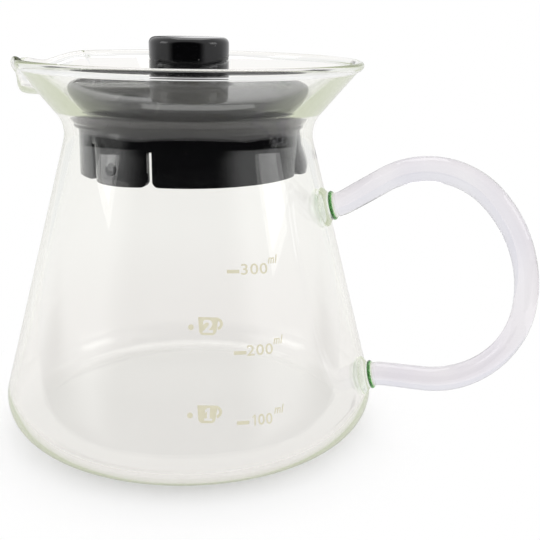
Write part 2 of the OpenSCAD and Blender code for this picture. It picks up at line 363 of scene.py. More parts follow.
def mouth_half(t):
    """Half of the mouth's thickness. The wall thins towards the rim, where it ends in a round
    fire-polished bead with a small fillet under it."""
    wall = (RIM_WALL + (MOUTH_WALL - RIM_WALL) * (1 - t) ** WALL_EASE) / 2
    below = max((1 - t) * MOUTH_LENGTH - BEAD_SHANK, 0.0)
    bead = math.sqrt(max(RIM_BEAD ** 2 - below ** 2, 0.0))
    blend = max(BEAD_FILLET - abs(wall - bead), 0.0) / BEAD_FILLET
    return max(wall, bead) + blend ** 2 * BEAD_FILLET / 4


def mouth_wall(t, angle):
    """(outer point, inner point, way up) of the mouth's wall."""
    step = 0.012
    if t == 0:
        up = MOUTH_UP
    else:
        up = (mouth_middle(min(t + step, 1), angle) - mouth_middle(t - step, angle)).normalized()
    out = Vector((up.y, -up.x)) * mouth_half(t)
    middle = mouth_middle(t, angle)
    return middle + out, middle - out, up


def vessel_column(angle):
    """One section of the whole vessel: out under the base, up the outside, over the rim and down
    the inside to the middle of the floor."""
    outer_side = arc(WAIST_CENTRE, WAIST_ROUND, 180 + SIDE_TILT, 180 - LEAN, WAIST_STEPS)
    inner_side = arc(WAIST_CENTRE, NECK_BEND, 180 - LEAN, 180 + INNER_TILT, WAIST_STEPS)
    foot = arc(BASE_CENTRE, BASE_ROUND, -90, SIDE_TILT, FOOT_STEPS)
    inner_foot = arc(INNER_BASE_CENTRE, INNER_ROUND, INNER_TILT, -90, FOOT_STEPS)
    walls = [mouth_wall(t, angle) for t in MOUTH_PLACES]
    up = walls[-1][2]
    out = Vector((up.y, -up.x))
    top = mouth_middle(1, angle)
    bead = []
    for i in range(1, BEAD_STEPS):
        turn = math.pi * i / BEAD_STEPS
        bead.append(top + (out * math.cos(turn) + up * math.sin(turn)) * mouth_half(1))
    under = Vector((0, 0))
    floor = Vector((0, BASE_WALL))
    return (
        [under]
        + straight(under, foot[0], FLOOR_ROWS)
        + foot
        + straight(foot[-1], outer_side[0], SIDE_ROWS)
        + outer_side
        + [w[0] for w in walls[1:]]
        + bead
        + [w[1] for w in reversed(walls[1:])]
        + inner_side
        + straight(inner_side[-1], inner_foot[0], SIDE_ROWS)
        + inner_foot
        + straight(inner_foot[-1], floor, FLOOR_ROWS)
        + [floor]
    )


def blown_vessel():
    """The vessel's glass. Its columns lie closer together at the spout."""
    spout_steps = 64
    plain_steps = 160
    angles = [DIP_HALF_ANGLE * (2 * i / spout_steps - 1) for i in range(spout_steps)]
    rest = 360 - 2 * DIP_HALF_ANGLE
    angles += [DIP_HALF_ANGLE + rest * i / plain_steps for i in range(plain_steps)]
    columns = [[around(p, 180 + angle) for p in vessel_column(angle)] for angle in angles]
    return finished("vessel", skin(columns, poles=True), "vessel")


# The handle and its welds -----------------------------------------------------------------------


def bend_travel(radius, start, stop, side):
    """Travel along a bend that turns left (side 1) or right (side -1) between two headings."""
    a = math.radians(start)
    b = math.radians(stop)
    return Vector((math.sin(b) - math.sin(a), math.cos(a) - math.cos(b))) * radius * side


def weld_root(height):
    """Where a weld's axis meets the vessel's side."""
    return Vector((side_radius(height), height))


def handle_line():
    """(place, heading) along the handle's centreline, from the upper weld to the lower one."""
    out = polar(1, SIDE_TILT)
    start = weld_root(UPPER_WELD_HEIGHT) + out * (WELD_LENGTH - ROD_SINK)
    climb = weld_root(UPPER_WELD_HEIGHT) + out * (WELD_LENGTH + ROD_LAP)
    rise = climb + bend_travel(WELD_BEND, SIDE_TILT, RISE_ANGLE, 1)
    rise_end = rise + polar(RISE_LENGTH, RISE_ANGLE)
    top_end = rise_end + bend_travel(TOP_BEND, RISE_ANGLE, SIDE_START, -1)
    foot_stop = weld_root(LOWER_WELD_HEIGHT) + out * (WELD_LENGTH + ROD_LAP)
    level_end = foot_stop - bend_travel(WELD_BEND, 180, 180 + SIDE_TILT, 1)
    share = 1 + math.cos(math.radians(SIDE_END))
    drop = top_end.y - level_end.y - LOW_BEND * share
    side_bend = drop / (math.cos(math.radians(SIDE_START)) - math.cos(math.radians(SIDE_END)))
    line = [(start, SIDE_TILT), (climb, SIDE_TILT)]

    def follow(radius, stop, side, steps):
        """Bends the line on to a new heading."""
        place, heading = line[-1]
        for i in range(1, steps + 1):
            now = heading + (stop - heading) * i / steps
            line.append((place + bend_travel(radius, heading, now, side), now))

    def run(length, steps):
        """Takes the line straight on."""
        place, heading = line[-1]
        for i in range(1, steps + 1):
            line.append((place + polar(length * i / steps, heading), heading))

    follow(WELD_BEND, RISE_ANGLE, side=1, steps=8)
    run(RISE_LENGTH, steps=10)
    follow(TOP_BEND, SIDE_START, side=-1, steps=40)
    follow(side_bend, SIDE_END, side=-1, steps=36)
    follow(LOW_BEND, -180.0, side=-1, steps=40)
    run(line[-1][0].x - level_end.x, steps=10)
    line[-1] = (line[-1][0], 180.0)
    follow(WELD_BEND, 180.0 + SIDE_TILT, side=1, steps=8)
    run(ROD_LAP + ROD_SINK, steps=1)
    return line


def rod_radius(share):
    """The rod's radius at a share of its length, eased from one stop to the next."""
    for (a, low), (b, high) in zip(ROD_RADII, ROD_RADII[1:]):
        if share <= b:
            t = (share - a) / (b - a)
            return low + (high - low) * t * t * (3 - 2 * t)
    return ROD_RADII[-1][1]


def bent_handle():
    """The glass rod, swept along the centreline and closed inside both welds."""
    line = handle_line()
    length = [0.0]
    for (a, _), (b, _) in zip(line, line[1:]):
        length.append(length[-1] + (b - a).length)
    sides = 48
    bm = bmesh.new()
    rings = []
    for (place, heading), along in zip(line, length):
        radius = rod_radius(along / length[-1])
        turn = math.radians(heading)
        across = Vector((-math.sin(turn), 0, math.cos(turn)))
        centre = Vector((place.x, 0, place.y))
        ring = []
        for i in range(sides):
            a = 2 * math.pi * i / sides
            point = centre + (across * math.cos(a) + Vector((0, 1, 0)) * math.sin(a)) * radius
            ring.append(bm.verts.new(point * MM))
        rings.append(ring)
    for here, after in zip(rings, rings[1:]):
        for i in range(sides):
            up = (i + 1) % sides
            bm.faces.new((here[i], here[up], after[up], after[i]))
    bm.faces.new(rings[0])
    bm.faces.new(rings[-1])
    return finished("handle_rod", bm, "vessel", sharp=60)


def on_weld(height, radius, turn, lift, cling):
    """A point of a weld. lift is its distance from the side along the weld's axis, and cling says
    how far it follows the round of the side."""
    root = weld_root(height)
    out = polar(1, SIDE_TILT)
    climb = Vector((-out.y, out.x))
    up = radius * math.cos(turn)
    aside = radius * math.sin(turn)
    fall = root.x - math.sqrt(root.x ** 2 - aside ** 2)
    place = root + climb * up + out * (lift - fall * cling)
    return Vector((place.x, aside, place.y)) * MM


def weld_piece(name, height, rows):
    """A turned blob of glass on the side. rows are (radius, lift, cling) from its root outwards."""
    sides = 64
    columns = []
    for i in range(sides):
        turn = 2 * math.pi * i / sides
        columns.append([on_weld(height, radius, turn, lift, cling) for radius, lift, cling in rows])
    return finished(name, skin(columns, poles=True), "vessel", sharp=50)


WELD_FOOT_ROWS = (
    (0.0, -0.25, 1.0),
    (4.6, -0.25, 1.0),
    (5.15, -0.1, 1.0),
    (5.3, 0.12, 1.0),
    (5.2, 0.4, 1.0),
    (4.9, 0.72, 0.95),
    (4.45, 1.0, 0.85),
    (4.05, 1.25, 0.7),
    (3.8, 1.5, 0.5),
    (3.72, 1.75, 0.3),
    (3.8, 2.05, 0.2),
    (3.9, 2.35, 0.1),
    (3.84, 2.6, 0.05),
    (3.6, 2.85, 0.0),
    (3.3, 2.96, 0.0),
    (0.0, 3.0, 0.0),
)
WELD_RING_ROWS = (
    (0.0, 1.95, 0.1),
    (3.1, 1.97, 0.1),
    (3.5, 2.08, 0.1),
    (3.64, 2.3, 0.05),
    (3.5, 2.52, 0.0),
    (3.1, 2.6, 0.0),
    (0.0, 2.62, 0.0),
)


# The lid ----------------------------------------------------------------------------------------

KNOB_BORE = KNOB_RADIUS - KNOB_WALL
SKIRT_BORE = SKIRT_RADIUS - SKIRT_WALL


def lid_plate():
    """The disc with its soft shoulder, the sloping flange and the bead under it."""
    top = [Vector((KNOB_BORE, DISC_TOP)), Vector((KNOB_RADIUS, DISC_TOP))]
    shoulder = [Vector((radius, DISC_TOP - drop)) for radius, drop in SHOULDER_DROPS]
    edge = arc(Vector((LID_RADIUS - EDGE_ROUND, DISC_TOP - EDGE_DROP)), EDGE_ROUND, 75, 0, 8)
    seat = [
        Vector((LID_RADIUS, SEAT_HEIGHT + SEAT_RISE)),
        Vector((LID_RADIUS - SEAT_CUT, SEAT_HEIGHT - SEAT_CUT)),
    ]
    flange = [Vector(point) for point in FLANGE_FACE]
    bead = arc(Vector(FLANGE_BEAD), FLANGE_BEAD_ROUND, 60, -90, 8)
    under = [
        Vector((SKIRT_BORE, FLANGE_LOW)),
        Vector((SKIRT_BORE, DISC_UNDER)),
        Vector((KNOB_BORE, DISC_UNDER)),
    ]
    section = top + shoulder + edge + seat + flange + bead + under
    return finished("lid_disc", turned(section), "lid", sharp=35)


def lid_knob():
    """The hollow grip, with a foot that curves out to the plate and a slightly dished top."""
    hollow = [
        Vector((0, KNOB_TOP - KNOB_WALL)),
        Vector((KNOB_BORE, KNOB_TOP - KNOB_WALL)),
        Vector((KNOB_BORE, DISC_TOP - KNOB_LAP)),
    ]
    foot = arc(Vector((KNOB_RADIUS + KNOB_FOOT, DISC_TOP + KNOB_FOOT)), KNOB_FOOT, 270, 180, 10)
    foot[0] -= Vector((0, KNOB_LAP))
    top_round = Vector((KNOB_RADIUS - KNOB_ROUND, KNOB_TOP - KNOB_ROUND))
    shoulder = arc(top_round, KNOB_ROUND, 0, 90, 10)
    dish = [Vector((radius, KNOB_TOP - drop)) for radius, drop in KNOB_DISH]
    section = hollow + foot + shoulder + dish
    return finished("lid_grip", turned(section, poles=True), "lid", sharp=35)


def tab_low(distance):
    """Lower edge of a tab at a distance from its side, with a rounded corner."""
    if distance >= TAB_ROUND:
        return SKIRT_LOW
    return SKIRT_LOW + TAB_ROUND - math.sqrt(TAB_ROUND ** 2 - (TAB_ROUND - distance) ** 2)


def tab_swell(height, share):
    """How far a gripping tab stands out from the skirt at a height. It bulges like a leaf, most in
    the middle (share 0.5) and not at its sides."""
    across = math.sin(math.pi * share) ** SWELL_FALL
    for (high, more), (low, less) in zip(TAB_SWELL, TAB_SWELL[1:]):
        if height >= low:
            t = min(max((high - height) / (high - low), 0.0), 1.0)
            return (more + (less - more) * t) * across
    return TAB_SWELL[-1][1] * across


def tab_spans():
    """(start angle, stop angle, gripping or not) of the skirt's six tabs."""
    half_slot = math.degrees(SLOT_WIDTH / 2 / SKIRT_RADIUS)
    half_grip = GRIP_ANGLE / 2
    spans = []
    for i in range(3):
        middle = LID_TURN + 120 * i
        spans.append((middle - half_grip + half_slot, middle + half_grip - half_slot, True))
        next_grip = middle + 120 - half_grip
        spans.append((middle + half_grip + half_slot, next_grip - half_slot, False))
    return spans


def tab_places(width):
    """Distances of a tab's columns from its side, closer together at its round corners."""
    corner_steps = 6
    column_step = 1.2
    corner = []
    for k in range(corner_steps + 1):
        corner.append(TAB_ROUND * (1 - math.cos(math.pi / 2 * k / corner_steps)))
    middle_steps = max(int(width / column_step), 6)
    middle_width = width - 2 * TAB_ROUND
    plain = [TAB_ROUND + middle_width * k / middle_steps for k in range(1, middle_steps)]
    return corner + plain + [width - d for d in reversed(corner)]


def lid_skirt():
    """One ring, slotted from below into three wide tabs and three gripping tabs."""
    bm = bmesh.new()
    band_heights = (FLANGE_LOW + SKIRT_LAP, *BAND_LINES, SLOT_TOP)
    tab_rows = 14
    bands = []
    tabs = []

    def pair(height, angle, swell):
        """The outer and the inner point of the skirt's wall at a height."""
        radius = SKIRT_RADIUS + tab_swell(height, swell)
        outer = bm.verts.new(around(Vector((radius, height)), angle))
        inner = bm.verts.new(around(Vector((radius - SKIRT_WALL, height)), angle))
        return outer, inner

    for start, stop, gripping in tab_spans():
        width = math.radians(stop - start) * SKIRT_RADIUS
        columns = []
        for along in tab_places(width):
            share = along / width
            angle = start + (stop - start) * share
            swell = share if gripping else 0.0
            band = [pair(height, angle, swell) for height in band_heights]
            low = tab_low(min(along, width - along))
            column = [band[-1]]
            for r in range(1, tab_rows + 1):
                column.append(pair(SLOT_TOP + (low - SLOT_TOP) * r / tab_rows, angle, swell))
            bands.append(band)
            columns.append(column)
        tabs.append(columns)

    def wall(a, b, side):
        """Quads between two columns of pairs, outside (0) or inside (1)."""
        for r in range(len(a) - 1):
            bm.faces.new((a[r][side], b[r][side], b[r + 1][side], a[r + 1][side]))

    def cap(a, b):
        """A quad through the wall, from one pair to the next."""
        bm.faces.new((a[0], b[0], b[1], a[1]))

    for c, band in enumerate(bands):
        after = bands[(c + 1) % len(bands)]
        wall(band, after, 0)
        wall(band, after, 1)
        cap(band[0], after[0])
    for n, columns in enumerate(tabs):
        for here, after in zip(columns, columns[1:]):
            wall(here, after, 0)
            wall(here, after, 1)
            cap(here[-1], after[-1])
        for end in (columns[0], columns[-1]):
            for r in range(tab_rows):
                cap(end[r], end[r + 1])
        cap(columns[-1][0], tabs[(n + 1) % len(tabs)][0][0])
    return finished("lid_tabs", bm, "lid", sharp=35)


# The enamel scale -------------------------------------------------------------------------------


def flat_letters(text, height, width, shear=0.0, bold=0.0):
    """Letters as a thin flat solid in millimetres, centred on their box."""
    curve = bpy.data.curves.new("letters", "FONT")
    curve.body = text
    curve.shear = shear
    curve.extrude = 0.5
    curve.space_character = 1.1
    curve.offset = bold
    curve.resolution_u = 6
    stand = bpy.data.objects.new("letters", curve)
    bpy.context.scene.collection.objects.link(stand)
    mesh = bpy.data.meshes.new_from_object(stand)
    bpy.data.objects.remove(stand)
    bm = bmesh.new()
    bm.from_mesh(mesh)
    bpy.data.meshes.remove(mesh)
    bmesh.ops.remove_doubles(bm, verts=bm.verts, dist=1e-5)
    low = Vector([min(v.co[i] for v in bm.verts) for i in range(3)])
    high = Vector([max(v.co[i] for v in bm.verts) for i in range(3)])
    for v in bm.verts:
        share = Vector([(v.co[i] - low[i]) / (high[i] - low[i]) for i in range(3)])
        v.co = Vector(((share.x - 0.5) * width, (share.y - 0.5) * height, share.z))
    return bm


def flat_plate(outline):
    """A thin flat solid with an outline in millimetres."""
    bm = bmesh.new()
    low = [bm.verts.new((x, y, 0.0)) for x, y in outline]
    high = [bm.verts.new((x, y, 1.0)) for x, y in outline]
    bm.faces.new(low)
    bm.faces.new(high)
    for i in range(len(outline)):
        up = (i + 1) % len(outline)
        bm.faces.new((low[i], low[up], high[up], high[i]))
    bmesh.ops.recalc_face_normals(bm, faces=bm.faces)
    return bm


def combined(base, tool, how):
    """Joins or cuts two flat solids and gives back the result."""
    stands = []
    for bm in (base, tool):
        mesh = bpy.data.meshes.new("enamel_blank")
        bm.to_mesh(mesh)
        bm.free()
        stand = bpy.data.objects.new("enamel_blank", mesh)
        bpy.context.scene.collection.objects.link(stand)
        stands.append(stand)
    modifier = stands[0].modifiers.new("shape", "BOOLEAN")
    modifier.operation = how
    modifier.solver = "EXACT"
    modifier.object = stands[1]
    bpy.context.view_layer.update()
    shown = stands[0].evaluated_get(bpy.context.evaluated_depsgraph_get())
    mesh = bpy.data.meshes.new_from_object(shown)
    for stand in stands:
        bpy.data.objects.remove(stand)
    bm = bmesh.new()
    bm.from_mesh(mesh)
    bpy.data.meshes.remove(mesh)
    return bm


def beside(base, added, shift):
    """Adds a second flat solid to a first one, moved sideways."""
    for v in added.verts:
        v.co.x += shift
    mesh = bpy.data.meshes.new("enamel_blank")
    added.to_mesh(mesh)
    added.free()
    base.from_mesh(mesh)
    bpy.data.meshes.remove(mesh)
    return base


def long_and_flat(edge):
    """Whether an edge of a print runs along its face and is too long to follow the round glass."""
    rise = abs(edge.verts[0].co.z - edge.verts[1].co.z)
    return edge.calc_length() > PRINT_STEP and rise < 0.5


def enamel(name, bm, angle, height):
    """Lays a flat print on the glass side, centred on an angle and a height."""
    bmesh.ops.triangulate(bm, faces=bm.faces)
    for _ in range(4):
        long_edges = [edge for edge in bm.edges if long_and_flat(edge)]
        if not long_edges:
            break
        bmesh.ops.subdivide_edges(bm, edges=long_edges, cuts=1)
        bmesh.ops.triangulate(bm, faces=bm.faces)
    radius = side_radius(height)
    out = polar(1, SIDE_TILT)
    slant = math.radians(PRINT_SLANT)
    for v in bm.verts:
        right = v.co.x * math.cos(slant) - v.co.y * math.sin(slant)
        up = v.co.x * math.sin(slant) + v.co.y * math.cos(slant)
        rise = PRINT_RISE if v.co.z > 0.5 else -PRINT_SINK
        level = height + up * out.x
        place = Vector((side_radius(level), level)) + out * rise
        v.co = around(place, angle + math.degrees(right / radius))
    return finished(name, bm, "vessel", sharp=30)


def dash():
    """The stroke before an amount."""
    x = DASH_WIDTH / 2
    y = DASH_HEIGHT / 2
    return flat_plate([(-x, -y), (x, -y), (x, y), (-x, y)])


def figure_one(height, width, stroke, foot=0.0):
    """A figure 1 with its flag. foot is the width of the bar under it, where it has one."""
    right = width / 2
    left = right - stroke
    low = -height / 2
    top = height / 2
    tip = top - height * 0.2
    flag = [
        (right, top),
        (right - stroke * 0.9, top),
        (-width / 2, tip),
        (-width / 2 + stroke * 0.3, tip - stroke * 0.9),
        (left, top - stroke * 1.1),
    ]
    if foot == 0.0:
        return flat_plate([(left, low), (right, low)] + flag)
    middle = right - stroke / 2
    bar = low + stroke * 0.8
    base = [(left, bar), (middle - foot / 2, bar), (middle - foot / 2, low)]
    base += [(middle + foot / 2, low), (middle + foot / 2, bar), (right, bar)]
    return flat_plate(base + flag)


def amount(text, width):
    """The figures of one amount. A leading 1 is drawn with its flag."""
    if text[0] != "1":
        return flat_letters(text, FIGURE_HEIGHT, width, bold=FIGURE_BOLD)
    zeros = flat_letters(text[1:], FIGURE_HEIGHT, width * 0.66, bold=FIGURE_BOLD)
    for v in zeros.verts:
        v.co.x += width * 0.14
    return beside(zeros, figure_one(FIGURE_HEIGHT, ONE_WIDTH, ONE_STROKE), -width * 0.38)


def round_dot():
    """The dot before a cup mark."""
    return flat_plate([polar(DOT_WIDTH / 2, 15 * i) for i in range(24)])


def cup_mark(digit):
    """A small filled cup with its number left clear."""
    corner_height = CUP_CORNER - CUP_HALF_HEIGHT
    left = arc(Vector((CUP_CORNER - CUP_HALF_FOOT, corner_height)), CUP_CORNER, 180, 270, 6)
    right = arc(Vector((CUP_HALF_FOOT - CUP_CORNER, corner_height)), CUP_CORNER, 270, 360, 6)
    brim = [(CUP_HALF_TOP, CUP_HALF_HEIGHT), (-CUP_HALF_TOP, CUP_HALF_HEIGHT)]
    bowl = flat_plate(left + right + brim)
    ear = arc(EAR_CENTRE, EAR_OUTER, -80, 80, 16) + arc(EAR_CENTRE, EAR_INNER, 80, -80, 16)
    cup = combined(bowl, flat_plate(ear), "UNION")
    if digit == "2":
        number = flat_letters(digit, height=3.1, width=2.5, bold=0.035)
    else:
        number = figure_one(height=3.0, width=1.25, stroke=0.66, foot=1.9)
    for v in number.verts:
        v.co.z = v.co.z * 3 - 1
    bmesh.ops.recalc_face_normals(number, faces=number.faces)
    return combined(cup, number, "DIFFERENCE")


def printed_scale():
    """Dashes, amounts and cup marks, each placed by its angle round the glass and its height."""
    amounts = (
        ("300", 53.2, -55.7, -47.9, 7.0, 55.0, -40.4),
        ("200", 34.4, -55.3, -48.8, 6.9, 36.1, -42.2),
        ("100", 18.2, -55.9, -50.2, 5.7, 19.9, -44.7),
    )
    cups = (("2", 41.1, -64.9, -70.16), ("1", 20.95, -65.9, -70.63))
    made = []
    for text, level, dash_angle, angle, width, unit_level, unit_angle in amounts:
        unit = flat_letters("ml", UNIT_HEIGHT, UNIT_WIDTH, UNIT_SHEAR, UNIT_BOLD)
        made.append(enamel("dash_" + text, dash(), dash_angle, level))
        made.append(enamel("amount_" + text, amount(text, width), angle, level + FIGURE_LIFT))
        made.append(enamel("unit_" + text, unit, unit_angle, unit_level))
    for digit, level, angle, dot_angle in cups:
        made.append(enamel("cup_" + digit, cup_mark(digit), angle, level))
        made.append(enamel("dot_" + digit, round_dot(), dot_angle, level - FIGURE_LIFT))
    return made


# Finishes ---------------------------------------------------------------------------------------


def node(tree, kind, **values):
    """Adds a node and sets its properties, or its inputs where the name is an input's."""
    made = tree.nodes.new(kind)
    for name, value in values.items():
        if hasattr(made, name):
            setattr(made, name, value)
        else:
            made.inputs[name.replace("_", " ")].default_value = value
    return made


def join(tree, source, output, target, entry):
    """Links an output to an input."""
    tree.links.new(source.outputs[output], target.inputs[entry])


def maths(tree, operation, first, second):
    """A maths node. Each entry is a plain number or a (node, output)."""
    made = node(tree, "ShaderNodeMath", operation=operation)
    for i, entry in enumerate((first, second)):
        if isinstance(entry, tuple):
            join(tree, *entry, made, i)
        else:
            made.inputs[i].default_value = entry
    return made


def ranged(tree, source, output, before=(0.0, 1.0), after=(0.0, 1.0), soft=False):
    """Carries a value from one range over to another, softly at both ends if asked."""
    made = node(
        tree,
        "ShaderNodeMapRange",
        interpolation_type="SMOOTHSTEP" if soft else "LINEAR",
        From_Min=before[0],
        From_Max=before[1],
        To_Min=after[0],
        To_Max=after[1],
    )
    join(tree, source, output, made, "Value")
    return made


def raised(tree, source, output, shader, strength, distance):
    """Shows a height as fine relief in a shader's normal."""
    bump = node(tree, "ShaderNodeBump", Strength=strength, Distance=distance)
    join(tree, source, output, bump, "Height")
    join(tree, bump, "Normal", shader, "Normal")


def group_shell(name, entries, exits):
    """An empty shader group with its own sockets, all of them numbers."""
    group = bpy.data.node_groups.new(name, "ShaderNodeTree")
    for label, value in entries:
        entry = group.interface.new_socket(label, in_out="INPUT", socket_type="NodeSocketFloat")
        entry.default_value = value
    for label in exits:
        group.interface.new_socket(label, in_out="OUTPUT", socket_type="NodeSocketFloat")
    return group, node(group, "NodeGroupInput"), node(group, "NodeGroupOutput")


def glass_skin_group():
    """Long soft waves of blown or drawn glass, and faint smudges on its surface."""
    entries = (("Wave Scale", 60.0), ("Smudge Scale", 35.0), ("Smudge", 0.04))
    group, start, end = group_shell("glass_skin", entries, ("Height", "Roughness"))
    place = node(group, "ShaderNodeTexCoord")
    stretch = node(group, "ShaderNodeMapping", Scale=(1.0, 1.0, 0.45))
    waves = node(group, "ShaderNodeTexNoise", Detail=2.0, Roughness=0.4)
    smudges = node(group, "ShaderNodeTexNoise", Detail=5.0, Roughness=0.6)
    join(group, place, "Object", stretch, "Vector")
    join(group, stretch, "Vector", waves, "Vector")
    join(group, place, "Object", smudges, "Vector")
    join(group, start, "Wave Scale", waves, "Scale")
    join(group, start, "Smudge Scale", smudges, "Scale")
    spread = ranged(group, smudges, "Fac", before=(0.45, 0.8))
    join(group, start, "Smudge", spread, "To Max")
    join(group, waves, "Fac", end, "Height")
    join(group, spread, "Result", end, "Roughness")
    return group


def fine_speck_group():
    """Fine dust and small pits: a mask of scattered specks and a soft cloud between them."""
    entries = (("Scale", 900.0), ("Size", 0.1), ("Cloud Scale", 120.0))
    group, start, end = group_shell("fine_specks", entries, ("Specks", "Cloud"))
    place = node(group, "ShaderNodeTexCoord")
    cells = node(group, "ShaderNodeTexVoronoi", Randomness=1.0)
    chance = node(group, "ShaderNodeTexNoise", Scale=300.0, Detail=1.0)
    cloud = node(group, "ShaderNodeTexNoise", Detail=4.0, Roughness=0.6)
    for texture in (cells, chance, cloud):
        join(group, place, "Object", texture, "Vector")
    join(group, start, "Scale", cells, "Scale")
    join(group, start, "Cloud Scale", cloud, "Scale")
    near = maths(group, "LESS_THAN", (cells, "Distance"), (start, "Size"))
    some = maths(group, "GREATER_THAN", (chance, "Fac"), 0.6)
    both = maths(group, "MULTIPLY", (near, "Value"), (some, "Value"))
    join(group, both, "Value", end, "Specks")
    join(group, cloud, "Fac", end, "Cloud")
    return group


glass_skin = glass_skin_group()
fine_specks = fine_speck_group()


def blank_material(name):
    """A material with nothing but its output."""
    material = bpy.data.materials.new(name)
    material.use_nodes = True
    tree = material.node_tree
    tree.nodes.clear()
    return material, tree, node(tree, "ShaderNodeOutputMaterial")


def placed_group(tree, group, **values):
    """Places a shader group with its own values."""
    made = tree.nodes.new("ShaderNodeGroup")
    made.node_tree = group
    for name, value in values.items():
        made.inputs[name.replace("_", " ")].default_value = value
    return made


def colour_mix(tree, mask, output, low, high):
    """A colour between two, by a mask. Each is a socket or a plain colour."""
    mix = node(tree, "ShaderNodeMix", data_type="RGBA")
    tree.links.new(mask.outputs[output], mix.inputs[0])
    for entry, colour in zip([s for s in mix.inputs if s.type == "RGBA"], (low, high)):
        if isinstance(colour, tuple):
            entry.default_value = (*colour, 1.0)
        else:
            tree.links.new(colour, entry)
    return [s for s in mix.outputs if s.type == "RGBA"][0]


def clear_glass(name, tint, depth_colour, density, wave_scale, wave_height, smudge, bend):
    """Clear glass that takes its colour from its depth and lets the lamps through. Light that is
    mirrored to and fro in a wall until the renderer gives it up shows a painted pale glow, not
    black."""
    material, tree, out = blank_material(name)
    marks = placed_group(tree, glass_skin, Wave_Scale=wave_scale, Smudge=smudge)
    shader = node(
        tree,
        "ShaderNodeBsdfPrincipled",
        IOR=bend,
        Transmission_Weight=1.0,
        Metallic=0.0,
        Emission_Strength=1.0,
    )
    tree.links.new(colour_mix(tree, marks, "Height", tint, WHITE), shader.inputs["Base Color"])
    join(tree, marks, "Roughness", shader, "Roughness")
    raised(tree, marks, "Height", shader, strength=1.0, distance=wave_height)
    path = node(tree, "ShaderNodeLightPath")
    # Painted glow: the glass emits a pale sage light wherever a ray was mirrored more often than
    # the renderer follows.
    trapped = maths(tree, "GREATER_THAN", (path, "Glossy Depth"), TRAPPED_BOUNCES)
    glow = colour_mix(tree, trapped, "Value", BLACK, TRAPPED_GLOW)
    tree.links.new(glow, shader.inputs["Emission Color"])
    material.cycles.emission_sampling = "NONE"
    depth = node(tree, "ShaderNodeVolumeAbsorption", Color=(*depth_colour, 1.0), Density=density)
    through = node(tree, "ShaderNodeBsdfTransparent", Color=(0.96, 0.96, 0.96, 1.0))
    mix = node(tree, "ShaderNodeMixShader")
    join(tree, path, "Is Shadow Ray", mix, 0)
    join(tree, shader, "BSDF", mix, 1)
    join(tree, through, "BSDF", mix, 2)
    join(tree, mix, "Shader", out, "Surface")
    join(tree, depth, "Volume", out, "Volume")
    return material


def black_plastic():
    """Glossy moulded plastic with faint clouding, fine pits and a few specks of dust."""
    material, tree, out = blank_material("lid_black")
    marks = placed_group(tree, fine_specks, Scale=750.0, Size=0.11, Cloud_Scale=90.0)
    shader = node(tree, "ShaderNodeBsdfPrincipled", IOR=1.5)
    colour = colour_mix(tree, marks, "Specks", (0.0012, 0.0012, 0.0015), (0.12, 0.12, 0.115))
    tree.links.new(colour, shader.inputs["Base Color"])
    rough = ranged(tree, marks, "Cloud", after=(0.04, 0.11))
    join(tree, rough, "Result", shader, "Roughness")
    raised(tree, marks, "Cloud", shader, strength=0.5, distance=0.00002)
    join(tree, shader, "BSDF", out, "Surface")
    return material


def cream_enamel():
    """Fired cream enamel, matt, a little uneven where the screen laid it down."""
    material, tree, out = blank_material("scale_enamel")
    marks = placed_group(tree, fine_specks, Scale=4000.0, Size=0.2, Cloud_Scale=700.0)
    shader = node(tree, "ShaderNodeBsdfPrincipled")
    colour = colour_mix(tree, marks, "Cloud", (0.68, 0.64, 0.46), (0.8, 0.77, 0.6))
    tree.links.new(colour, shader.inputs["Base Color"])
    rough = ranged(tree, marks, "Cloud", after=(0.4, 0.6))
    join(tree, rough, "Result", shader, "Roughness")
    join(tree, shader, "BSDF", out, "Surface")
    return material


# The studio -------------------------------------------------------------------------------------


def level_way(degrees):
    """A level direction, turned from straight away from the camera's side."""
    turn = math.radians(degrees)
    side = Vector((math.sin(turn), math.cos(turn), 0))
    return Matrix.Rotation(math.radians(CAMERA_TURN), 3, "Z") @ side


def studio_camera():
    """The camera, placed and turned by its yaw, pitch and roll."""
    data = bpy.data.cameras.new("camera")
    data.sensor_width = 36.0
    data.lens = CAMERA_LENS
    data.clip_start = 0.01
    data.clip_end = 20.0
    camera = bpy.data.objects.new("camera", data)
    bpy.context.scene.collection.objects.link(camera)
    pitch = math.radians(CAMERA_PITCH)
    roll = math.radians(CAMERA_ROLL)
    forward = level_way(CAMERA_YAW) * math.cos(pitch) - Vector((0, 0, math.sin(pitch)))
    level_right = level_way(CAMERA_YAW + 90)
    level_up = level_right.cross(forward)
    right = level_right * math.cos(roll) + level_up * math.sin(roll)
    up = level_up * math.cos(roll) - level_right * math.sin(roll)
    turn = Matrix((right, up, -forward)).transposed()
    camera.matrix_world = Matrix.Translation(CAMERA_PLACE) @ turn.to_4x4()
    bpy.context.scene.camera = camera
    return camera


def soft_box(name, way, distance, height, size, power):
    """A square soft lamp that looks at the object."""
    data = bpy.data.lights.new(name, "AREA")
    data.shape = "SQUARE"
    data.size = size
    data.energy = power
    lamp = bpy.data.objects.new(name, data)
    bpy.context.scene.collection.objects.link(lamp)
    place = level_way(way) * distance + Vector((0, 0, height))
    turn = (LAMP_AIM - place).to_track_quat("-Z", "Y")
    lamp.matrix_world = Matrix.Translation(place) @ turn.to_matrix().to_4x4()
    return lamp


